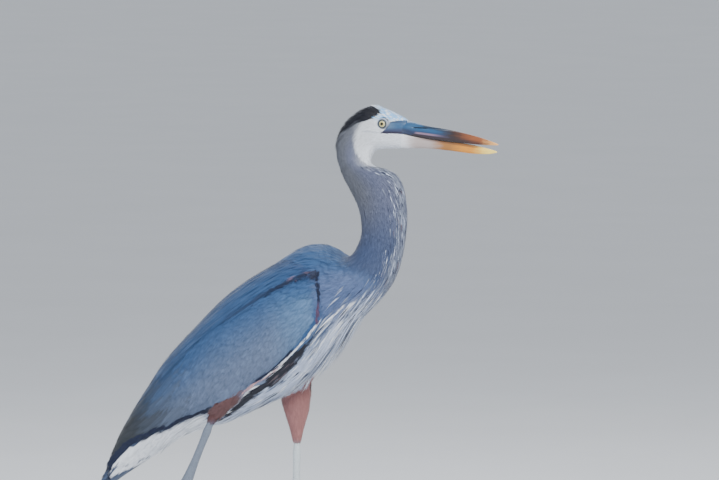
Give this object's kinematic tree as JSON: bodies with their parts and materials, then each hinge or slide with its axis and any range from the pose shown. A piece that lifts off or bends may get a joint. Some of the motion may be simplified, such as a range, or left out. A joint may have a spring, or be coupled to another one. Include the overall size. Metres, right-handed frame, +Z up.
{
  "type": "great blue heron",
  "caption": "Life-size standing great blue heron in mid-stride, neck in an S, wings folded and long bill slightly open, on its own feet.",
  "frame": {"origin": "on the floor, under the middle of the model's length and width", "axes": "+X the way the bird faces, +Y its left, +Z up"},
  "size_m": [0.644, 0.19, 0.7859],
  "materials": {
    "plumage": "soft matte feathers in slate blue, grey, black and white",
    "thigh_plumage": "soft matte feathers in rufous",
    "bill_upper": "smooth horn, blue-grey at the base to orange at the tip",
    "bill_lower": "smooth horn, pale at the base to yellow-orange",
    "leg_skin": "scaled grey skin",
    "claw": "smooth dark horn",
    "eye": "wet, pale yellow iris round a black pupil"
  },
  "bodies": {
    "root": {"head": "plumage", "neck_upper": "plumage", "neck_middle": "plumage", "neck_lower": "plumage", "trunk": "plumage", "tail": "plumage", "wing_right": "plumage", "wing_left": "plumage", "bill_upper": "bill_upper", "bill_lower": "bill_lower", "eye_left": "eye", "thigh_left": "thigh_plumage", "shank_left": "leg_skin", "tarsus_left": "leg_skin", "toe_left_inner": "leg_skin", "claw_left_inner": "claw", "toe_left_middle": "leg_skin", "claw_left_middle": "claw", "toe_left_outer": "leg_skin", "claw_left_outer": "claw", "toe_left_hallux": "leg_skin", "claw_left_hallux": "claw", "eye_right": "eye", "thigh_right": "thigh_plumage", "shank_right": "leg_skin", "tarsus_right": "leg_skin", "toe_right_inner": "leg_skin", "claw_right_inner": "claw", "toe_right_middle": "leg_skin", "claw_right_middle": "claw", "toe_right_outer": "leg_skin", "claw_right_outer": "claw", "toe_right_hallux": "leg_skin", "claw_right_hallux": "claw"}
  },
  "joints": []
}
